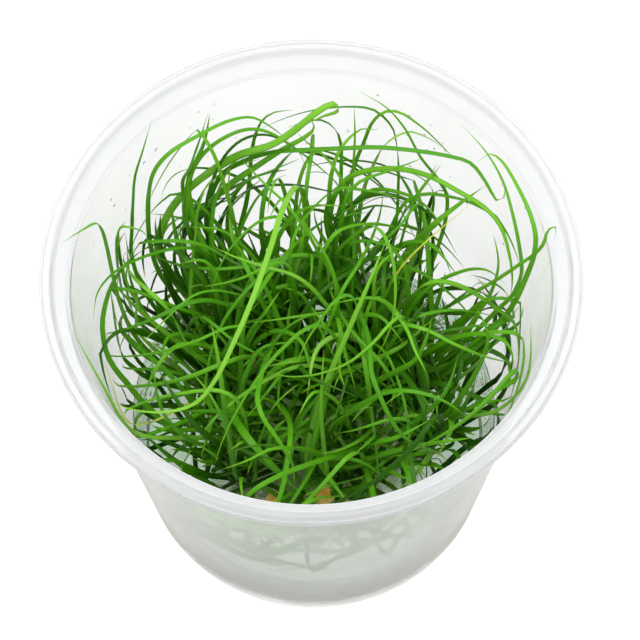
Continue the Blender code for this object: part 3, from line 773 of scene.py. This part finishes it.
def companionPath(rng, middles, setup):
    # the solid leaf's route turned a little about its crown, lowered, pulled in and swaying
    root = min(crownPlaces.values(), key=lambda c: math.hypot(c[0] - middles[0][0], c[1] - middles[0][1]))
    centre = np.array((*root, leafFoot))
    angle = math.radians(rng.normal(0, setup["turn"]))
    samples = setup["samples"]
    path = throughPoints(middles, samples) - centre
    path[:, 0], path[:, 1] = turnedAbout(path[:, 0], path[:, 1], angle)
    along = np.linspace(0, 1, samples)
    path[:, :2] *= 1 + (rng.uniform(*setup["reachShare"]) - 1) * along[:, None]
    path[:, 2] *= rng.uniform(*setup["heightShare"])
    for axis in range(3):
        for waves in (1, 2, 3):
            wave = setup["sway"] / waves * rng.normal() * np.sin(waves * math.pi * along + rng.uniform(0, 3))
            path[:, axis] += wave * np.minimum(1, along * 4)
    path += centre
    path[:, 2] = np.clip(path[:, 2], lowestLeaf, setup["highest"])
    path = keepInside(path, rng.uniform(*setup["wallGaps"]))
    keep = max(12, int(samples * rng.uniform(*setup["lengthShare"])))
    return throughPoints(path[:keep:3], setup["rings"])


def addBlade(found, rng, path, firstSide, setup):
    # how far a leaf turns to the light differs from leaf to leaf
    sides = turnToLight(path, bladeFacings(path, firstSide), rng.uniform(0.2, bladeShape["turnedUp"]))
    widths = bladeWidths(rng.uniform(*setup["widths"]), len(path))
    tint = drawTint(rng, *setup["tints"])
    found.setdefault(pickSlot(rng, setup["slots"]), []).append((path, widths, sides, tint))


def makeCompanions(setup):
    rng = np.random.default_rng(setup["seed"])
    found = {}
    for name, node in sorted(frame["nodes"].items()):
        if not name.startswith(("leaf_", "crown_")):
            continue
        for middles, _, _ in solidBlades(node):
            for _ in range(setup["perSolidLeaf" if name.startswith("leaf_") else "perInnerLeaf"]):
                path = companionPath(rng, middles, setup)
                across = np.cross(path[1] - path[0], (0, 0, 1)) + rng.normal(0, 0.05, 3)
                addBlade(found, rng, path, across, setup)
    placeBlades("beside_leaves_", found)


def makeGrownLeaves(prefix, setup):
    rng = np.random.default_rng(setup["seed"])
    found = {}
    for crown, (count, ceiling) in setup["perCrown"].items():
        base = leafRoots[crown]
        for k in range(count):
            heading = 2 * math.pi * (k + rng.uniform(-0.3, 0.3)) / count + base[0]
            path = growPath(rng, base, heading, ceiling, setup)
            addBlade(found, rng, path, (-math.sin(heading), math.cos(heading), 0), setup)
    placeBlades(prefix, found)


makeCompanions(companionLeaves)
makeGrownLeaves("grown_leaves_", grownLeaves)
makeGrownLeaves("low_leaves_", lowLeaves)
makeGrownLeaves("arch_leaves_", archLeaves)


# leaves placed one by one: those behind the front wall and a few that stand out

placedLeaves = {
    # width, then the points of the midline
    "leaf_light": [
        (1.2, ((-24, -20, 24), (-26, -31, 40), (-23, -34.5, 50), (-14, -38.5, 52), (-6, -41, 53), (2, -41.5, 54))),
        (0.9, ((-13, -20, 24), (-14, -35.5, 30), (-8, -39, 41), (-3, -41, 51), (0, -41.5, 58))),
        (1.0, ((8, -18, 24), (14, -34.5, 26), (18, -35.5, 40), (24, -33, 43), (28, -30.5, 42))),
    ],
    "leaf_green": [
        (1.7, ((-18, 6, 22), (-19, 8, 34), (-19.5, 12, 43), (-21, 19, 52), (-24, 26, 58), (-25, 31, 66),
               (-21.5, 36, 74), (-20, 38.5, 81))),
        (1.1, ((-8, 16, 22), (-7, 14, 46), (-12, 18, 58), (-18, 21, 64), (-25, 21, 66))),
        (1.6, ((-24, -20, 23), (-28.5, -26.5, 34), (-25, -30.5, 33), (-19, -33, 27), (-14, -34.5, 24.5),
               (-6, -36, 22))),
        (1.0, ((-20, -22, 24), (-17, -35.5, 37), (-11, -39.5, 49), (-4, -41.5, 54))),
        (0.9, ((-14, -24, 23), (-12, -37.2, 37), (-2, -39.2, 40), (5, -39.2, 39.5), (13, -38, 42), (24, -31.5, 34))),
        (1.0, ((8, -22, 23), (8, -38.8, 38), (4, -41, 50), (1, -42, 58))),
        (1.0, ((9, -22, 23), (9, -38.6, 40), (16, -38.2, 50), (22, -36.5, 56))),
        (0.9, ((7, -24, 23), (7.3, -39, 41), (6.5, -41.3, 56))),
    ],
    "leaf_dark": [
        (0.9, ((-2, -22, 23), (-1, -37.5, 25), (3, -38, 30), (6, -39, 38), (10, -40, 46))),
    ],
}


def makePlacedLeaves(setup, rings=48):
    rng = np.random.default_rng(5)
    found = {}
    for slot, leaves in setup.items():
        for width, points in leaves:
            path = throughPoints(points, rings)
            outward = np.array((points[0][0], points[0][1], 0.0))
            sides = turnToLight(path, bladeFacings(path, np.cross(outward, (0, 0, 1))), bladeShape["turnedUp"])
            found.setdefault(slot, []).append((path, bladeWidths(width, rings), sides, rng.uniform(-0.4, 0.6)))
    placeBlades("placed_leaves_", found)


makePlacedLeaves(placedLeaves)


# crowns: ribbed pale stems with sheathing leaf bases

crownShape = {
    # radius and height, from the foot in the gel to the top
    "profile": ((0.0, 13.1), (1.0, 13.3), (1.7, 14.4), (1.95, 16.5), (2.1, 18.6), (2.1, 20.4), (1.9, 21.6),
                (1.6, 22.6), (1.25, 23.5), (0.7, 24.3), (0.0, 24.55)),
    "pointsAround": 56,
    "ribs": 7,
    "ribDepth": 0.13,
    "greenFrom": (0.0195, 0.0235),  # metres
    "colours": ((0.62, 0.70, 0.42), (0.26, 0.40, 0.10), (0.30, 0.19, 0.08)),
}


def crownMaterial(setup):
    pale, green, brown = setup["colours"]
    material, tree, shader, _ = newMaterial("crownFlesh", pale)
    place = tree.place()
    patches = tree.noise(place, 420.0, 4.0)
    colour = tree.mix(tree.ramp(tree.height(place), *setup["greenFrom"]), pale, green)
    colour = tree.mix(tree.ramp(patches, 0.52, 0.66, 0.0, 0.85), colour, brown)
    tree.feed(shader, {"Base Color": colour, "Roughness": tree.ramp(patches, 0.3, 0.7, 0.35, 0.6),
                       "Normal": tree.bump(patches, 0.4, 0.0003)})
    return material


def makeCrowns(setup):
    points, faces = [], []
    profile, depth = setup["profile"], setup["ribDepth"]
    turns = [2 * math.pi * k / setup["pointsAround"] for k in range(setup["pointsAround"])]
    for index, (x, y) in enumerate(crownPlaces.values()):
        rings = []
        for radius, height in profile[1:-1]:
            ribbed = [radius * (1 + depth * math.cos(setup["ribs"] * turn + height * 0.5 + index)) / (1 + depth)
                      for turn in turns]
            rings.append([(x + r * math.cos(turn), y + r * math.sin(turn), height) for r, turn in zip(ribbed, turns)])
        addClosedRings(points, faces, (x, y, profile[0][1]), rings, (x, y, profile[-1][1]))
    piece = linkFaces("crowns", points, faces, crownMaterial(setup))
    settle(piece, crownPlaces)
    print("crowns made")


makeCrowns(crownShape)


# roots: thin pale threads that wander down through the gel

rootShape = {
    "seed": 3,
    "perCrown": 7,
    "width": 0.34,
    "lengths": (10, 26),
    "step": 1.5,
    "startHeight": 14.0,
    "turnsUpBelow": 4,
    "heights": (2.6, 18.5),
    "widest": 35.2,
    "blade": {"pointsAround": 6, "thickness": 1.0, "cupping": 0.0},
    "colours": ((0.78, 0.74, 0.60), (0.42, 0.30, 0.16)),
}


def rootMaterial(colours):
    material, tree, shader, _ = newMaterial("rootThread", colours[0])
    spots = tree.noise(tree.place(), 300.0, 3.0)
    tree.feed(shader, {"Base Color": tree.mix(tree.ramp(spots, 0.45, 0.7, 0.0, 0.8), *colours),
                       "Roughness": tree.ramp(spots, 0.3, 0.7, 0.4, 0.6)})
    return material


def makeRoots(setup):
    rng = np.random.default_rng(setup["seed"])
    blades = []
    for x, y in crownPlaces.values():
        for k in range(setup["perCrown"]):
            heading = 2 * math.pi * (k + rng.uniform(-0.4, 0.4)) / setup["perCrown"]
            direction = np.array((math.cos(heading) * 0.7, math.sin(heading) * 0.7, -0.8))
            place = np.array((x + 0.8 * math.cos(heading), y + 0.8 * math.sin(heading), setup["startHeight"]))
            path = [place]
            for _ in range(int(rng.uniform(*setup["lengths"]) / setup["step"])):
                direction += rng.normal(0, 0.16, 3)
                if place[2] < setup["turnsUpBelow"]:
                    direction[2] = abs(direction[2]) * 0.3
                direction = unit(direction)
                place = place + direction * setup["step"]
                radial = math.hypot(place[0], place[1])
                if radial > setup["widest"]:
                    place[:2] *= setup["widest"] / radial
                place[2] = np.clip(place[2], *setup["heights"])
                path.append(place.copy())
            fine = throughPoints(path, len(path) * 2)
            sides = bladeFacings(fine, (-math.sin(heading), math.cos(heading), 0))
            blades.append((fine, setup["width"] * np.linspace(1, 0.45, len(fine)), sides, 0.0))
    piece = sweepBlades("roots", blades, rootMaterial(setup["colours"]), setup["blade"])
    settle(piece)
    print("roots made,", len(piece.data.polygons), "faces")


makeRoots(rootShape)


# tan lumps of old tissue

lumpShape = {
    "nodes": ("callus_1", "callus_2", "callus_3"),
    "roughLift": 0.14,  # mm of fine unevenness
    "grain": 1.2,
    "levels": 2,
    "colours": ((0.88, 0.47, 0.06), (0.94, 0.68, 0.25), (0.46, 0.20, 0.03)),
    "soak": 0.16,  # painted glow: the lumps give off light in their own colour, standing in for light that soaks through the soft tissue
}


def lumpMaterial(setup):
    tan, pale, brown = setup["colours"]
    material, tree, shader, _ = newMaterial("oldTissue", tan)
    place = tree.place()
    clouds = tree.noise(place, 380.0, 5.0)
    grains = tree.add("ShaderNodeTexVoronoi", {"Vector": place, "Scale": 900.0}).outputs["Distance"]
    colour = tree.mix(tree.ramp(clouds, 0.42, 0.62), tan, pale)
    colour = tree.mix(tree.ramp(grains, 0.0, 0.4, 0.7, 0.0), colour, brown)
    # the emission is painted glow: the lumps shine though they are no lamp
    tree.feed(shader, {"Base Color": colour, "Roughness": tree.ramp(clouds, 0.3, 0.7, 0.25, 0.55),
                       "Normal": tree.bump(tree.math("ADD", clouds, grains), 0.6, 0.0003),
                       "Coat Weight": 0.5, "Coat Roughness": 0.15,
                       "Emission Color": colour, "Emission Strength": setup["soak"]})
    return material


def makeLumps(setup):
    material = lumpMaterial(setup)
    for name in setup["nodes"]:
        label = "lump_" + name[-1]
        mesh = mergedCopy(frame["nodes"][name])
        data = bpy.data.meshes.new(label)
        mesh.to_mesh(data)
        mesh.free()
        piece = linkMesh(label, data, material)
        finer = piece.modifiers.new("finer", "SUBSURF")
        finer.levels = finer.render_levels = setup["levels"]
        grain = bpy.data.textures.new("grain_" + label, "CLOUDS")
        grain.noise_scale = setup["grain"] * mm
        rough = piece.modifiers.new("rough", "DISPLACE")
        rough.texture = grain
        rough.texture_coords = "LOCAL"
        rough.strength = setup["roughLift"] * 2 * mm
        bakedMesh(piece)
        piece.data.shade_smooth()
        settle(piece, [name])
    print("lumps made")


makeLumps(lumpShape)


# gel: a clear block with a slightly uneven wet top

gelShape = {
    "top": 20.0,
    "rise": 0.7,  # meniscus at the wall
    "floor": 1.75,
    "wallGap": 0.22,
    "unevenness": 0.10,
    "segments": 128,
    "ior": 1.34,
    "tint": (0.46, 0.59, 0.46),
    # colour of the painted shade in the middle of the gel
    "murk": (0.06, 0.10, 0.03),
    "murkMiddle": (-0.001, -0.003),  # metres
    "murkRadii": (0.017, 0.027),  # metres, where the painted shade under the plants starts to fade and ends
    "murkWander": 0.02,
}


def gelMaterial(setup):
    material, tree, shader, _ = newMaterial("clearGel", setup["tint"], 0.4)
    place = tree.place()
    # painted shade: the middle of the gel is tinted dark, standing in for the shade and the dark leaf bases under the
    # plants
    apart = tree.add("ShaderNodeSeparateXYZ", {0: place}).outputs
    squares = [tree.math("MULTIPLY", side, side) for side in
               (tree.math("SUBTRACT", apart[axis], setup["murkMiddle"][axis]) for axis in (0, 1))]
    away = tree.math("SQRT", tree.math("ADD", *squares))
    wander = tree.math("SUBTRACT", tree.noise(place, 210.0, 3.0), 0.5)
    away = tree.math("ADD", away, tree.math("MULTIPLY", wander, setup["murkWander"]))
    murk = tree.ramp(away, *setup["murkRadii"], 1.0, 0.0)
    waves = tree.bump(tree.noise(place, 130.0, 2.0), 0.25, 0.0008)
    tree.clear(shader, tree.mix(murk, setup["tint"], setup["murk"]), 0.03, setup["ior"], waves)
    return material


def makeGel(setup):
    top, gap = setup["top"], setup["wallGap"]
    edge = top + setup["rise"]
    profile = [(0, setup["floor"]), (36.2 - gap, setup["floor"]), (wallRadius(2.6) - gap, 2.6)]
    profile += [(wallRadius(h) - gap, h) for h in np.linspace(4, edge - 0.2, 8)]
    profile += [(wallRadius(edge) - gap - 0.08, edge), (wallRadius(top) - 0.9, top + 0.35),
                (wallRadius(top) - 2.0, top + 0.08)]
    profile += [(r, top) for r in np.linspace(wallRadius(top) - 3.6, 1.0, 26)] + [(0, top)]
    piece = spinProfile("gel_block", profile, setup["segments"], gelMaterial(setup))
    for vertex in piece.data.vertices:
        x, y, z = vertex.co / mm
        if z > top - 0.01:
            ripple = math.sin(x * 0.31 + 1.3) * math.cos(y * 0.27 - x * 0.11) + 0.5 * math.sin(x * 0.7 - y * 0.63)
            vertex.co.z += ripple * setup["unevenness"] * mm
    settle(piece, ["gel"])
    print("gel made")


makeGel(gelShape)


# cup: thin milky plastic with a stepped rim

cupShape = {
    # radius and height, outside from the axis up to the rim, then inside back down
    "profile": ((0, 0.7), (32.8, 0.7), (33.6, 0.0), (36.4, 0.0), (37.1, 0.35), (37.5, 1.2), (47.25, 81.6),
                (47.9, 83.1), (50.2, 84.6), (50.6, 86.3), (51.8, 86.3), (51.85, 85.3), (52.4, 85.3), (52.5, 86.4),
                (52.1, 86.9), (51.5, 87.1), (50.4, 87.1), (49.95, 86.7), (49.6, 84.9), (47.3, 83.4),
                cupInside["high"], cupInside["low"], (36.2, 1.5), (0, 1.5)),
    "segments": 192,
    "cornerRadius": 0.35,
    "milk": (0.865, 0.865, 0.835),
    "rimMilk": (0.82, 0.825, 0.845),
    "lowMilk": (0.66, 0.665, 0.59),  # painted shade: a darker, warmer veil low on the wall, where the gel stands behind it
    "lowHeights": (0.001, 0.027),  # metres
    "rimDepth": 0.28,
    "rimHeights": (0.0815, 0.0830),  # metres
    "milkDepth": 0.092,  # milkiness of one face seen head on, more at a glancing angle
    "throughShare": 0.36,  # of the scattered light, what comes through from behind
    "haze": 0.015,
    "ior": 1.14,
}


def cupMaterial(setup):
    # clear plastic under a veil of scattered light that thickens towards glancing angles
    material, tree, shader, output = newMaterial("milkyPlastic", setup["milk"], 0.35)
    place = tree.place()
    cloud = tree.noise(place, 60.0, 3.0)
    haze, milkDepth = setup["haze"], setup["milkDepth"]
    grain = tree.bump(tree.noise(place, 1600.0, 2.0), 0.08, 0.0001)
    uneven = tree.ramp(cloud, 0.3, 0.7, haze * 0.3, haze * 1.7)
    tree.clear(shader, (0.98, 0.985, 0.98, 1), uneven, setup["ior"], grain)
    facing = tree.add("ShaderNodeLayerWeight", {"Blend": 0.5}).outputs["Facing"]
    headOn = tree.math("MAXIMUM", tree.math("SUBTRACT", 1.0, facing), 0.02)
    # the rim is thicker and whiter than the wall
    height = tree.height(place)
    rim = tree.ramp(height, *setup["rimHeights"])
    depth = tree.math("ADD", tree.ramp(cloud, 0.3, 0.7, milkDepth * 0.85, milkDepth * 1.15),
                      tree.math("MULTIPLY", rim, setup["rimDepth"]))
    passed = tree.math("EXPONENT", tree.math("MULTIPLY", tree.math("DIVIDE", depth, headOn), -1.0))
    # painted shade: the veil is darker and warmer low on the wall
    low = tree.ramp(height, *setup["lowHeights"], 1.0, 0.0)
    colour = tree.mix(rim, tree.mix(low, setup["milk"], setup["lowMilk"]), setup["rimMilk"])
    near = tree.first("ShaderNodeBsdfDiffuse", {"Color": colour})
    far = tree.first("ShaderNodeBsdfTranslucent", {"Color": colour})
    veil = tree.blend(setup["throughShare"], near, far)
    tree.feed(output, {"Surface": tree.blend(tree.math("SUBTRACT", 1.0, passed), shader.outputs[0], veil)})
    return material


def makeCup(setup):
    profile = roundedCorners(setup["profile"], setup["cornerRadius"])
    piece = spinProfile("cup_shell", profile, setup["segments"], cupMaterial(setup), 70)
    settle(piece, ["cup"])
    print("cup made,", len(piece.data.polygons), "faces")


makeCup(cupShape)


# condensation: flat drops scattered on the inside of the wall

dropShape = {
    "seed": 4,
    "density": 22000.0,  # drops per square metre of wall
    "radii": (0.00012, 0.00042),  # metres
    "flatness": 0.45,
    "wallGap": 0.12,
    # patches of the wall: from and to angle in degrees, from and to height in mm
    "patches": ((20, 165, 58, 80), (195, 345, 44, 70)),
    "rings": 8,
    "ior": 1.33,
}


def dropMaterial(setup):
    material, tree, shader, _ = newMaterial("waterDrops", (0.9, 0.95, 0.97), 0.4)
    ripple = tree.bump(tree.noise(tree.place(), 2500.0, 1.0), 0.1, 0.00005)
    tree.clear(shader, (0.97, 0.985, 0.99, 1), 0.02, setup["ior"], ripple)
    return material


def makeDropTree():
    tree, given = geometryGroup("scatterDrops", (
        ("Density", "Float"), ("Seed", "Int"), ("Smallest", "Float"), ("Largest", "Float"), ("Flatness", "Float")))
    spots = tree.add("GeometryNodeDistributePointsOnFaces", {"Mesh": given["Geometry"]})
    size = tree.add("FunctionNodeRandomValue", data_type="FLOAT")
    # these nodes keep switched-off sockets of the same names
    wanted = ((spots, {"Density": "Density", "Seed": "Seed"}), (size, {"Min": "Smallest", "Max": "Largest"}))
    for node, sources in wanted:
        for socket in node.inputs:
            if socket.enabled and socket.name in sources:
                tree.tree.links.new(given[sources[socket.name]], socket)
    ball = tree.first("GeometryNodeMeshIcoSphere", {"Radius": 1.0, "Subdivisions": 2})
    width = next(socket for socket in size.outputs if socket.enabled)
    depth = tree.math("MULTIPLY", width, given["Flatness"])
    scale = tree.first("ShaderNodeCombineXYZ", {"X": width, "Y": width, "Z": depth})
    placed = tree.first("GeometryNodeInstanceOnPoints", {
        "Points": spots.outputs["Points"], "Rotation": spots.outputs["Rotation"], "Instance": ball, "Scale": scale})
    return endTree(tree, given, placed)


def makeDrops(setup):
    points, faces, rings = [], [], setup["rings"]
    for fromAngle, toAngle, fromHeight, toHeight in setup["patches"]:
        steps = int((toAngle - fromAngle) / 5)
        for i in range(steps + 1):
            angle = math.radians(fromAngle + (toAngle - fromAngle) * i / steps)
            for j in range(rings + 1):
                height = fromHeight + (toHeight - fromHeight) * j / rings
                radius = wallRadius(height) - setup["wallGap"]
                points.append((radius * math.cos(angle), radius * math.sin(angle), height))
                if i and j:
                    k = len(points) - 1
                    faces.append((k, k - 1, k - rings - 2, k - rings - 1))
    piece = linkFaces("wall_drops", points, faces, None, smooth=False)
    growWith(piece, makeDropTree(), {
        "Density": setup["density"], "Seed": setup["seed"], "Smallest": setup["radii"][0],
        "Largest": setup["radii"][1], "Flatness": setup["flatness"], "Skin": dropMaterial(setup)})
    settle(piece)
    print("drops made,", len(piece.data.polygons), "faces")


makeDrops(dropShape)


# floor, light and surroundings

studio = {
    "floorHalf": 1600,
    "floorColour": (0.12, 0.12, 0.12),
    "floorGlow": 0.96,
    "skyStrength": 1.0,
    "skyShine": 0.3,  # how bright the sky is in reflections
    "aim": (0, 0, 50),
    "lamps": (
        # place, size, power in watts
        ((-260, 180, 620), 380, 2.0),
        ((320, 120, 520), 300, 0.9),
    ),
}


def makeStudio(setup):
    half = setup["floorHalf"]
    corners = [(-half, -half, 0), (half, -half, 0), (half, half, 0), (-half, half, 0)]
    material, tree, shader, _ = newMaterial("whiteFloor", (1, 1, 1))
    tree.feed(shader, {"Base Color": (*setup["floorColour"], 1), "Roughness": 0.9, "Specular IOR Level": 0.0,
                       "Emission Color": (1, 1, 1, 1), "Emission Strength": setup["floorGlow"]})
    linkFaces("studioFloor", corners, [(0, 1, 2, 3)], material, smooth=False)
    world = bpy.data.worlds.new("studioSky")
    bpy.context.scene.world = world
    world.use_nodes = True
    tree = Tree(world.node_tree)
    glossy = tree.add("ShaderNodeLightPath").outputs["Is Glossy Ray"]
    tree.feed(world.node_tree.nodes["Background"], {
        "Color": (1, 1, 1, 1), "Strength": tree.ramp(glossy, 0.0, 1.0, setup["skyStrength"], setup["skyShine"])})
    for k, (place, size, power) in enumerate(setup["lamps"]):
        lamp = bpy.data.lights.new("softLamp%d" % (k + 1), "AREA")
        lamp.size = size * mm
        lamp.energy = power
        holder = addObject(lamp.name, lamp)
        holder.location = Vector(place) * mm
        holder.rotation_euler = (Vector(setup["aim"]) * mm - holder.location).to_track_quat("-Z", "Y").to_euler()
    bpy.context.scene.view_settings.view_transform = "Standard"
    print("studio made")


makeStudio(studio)
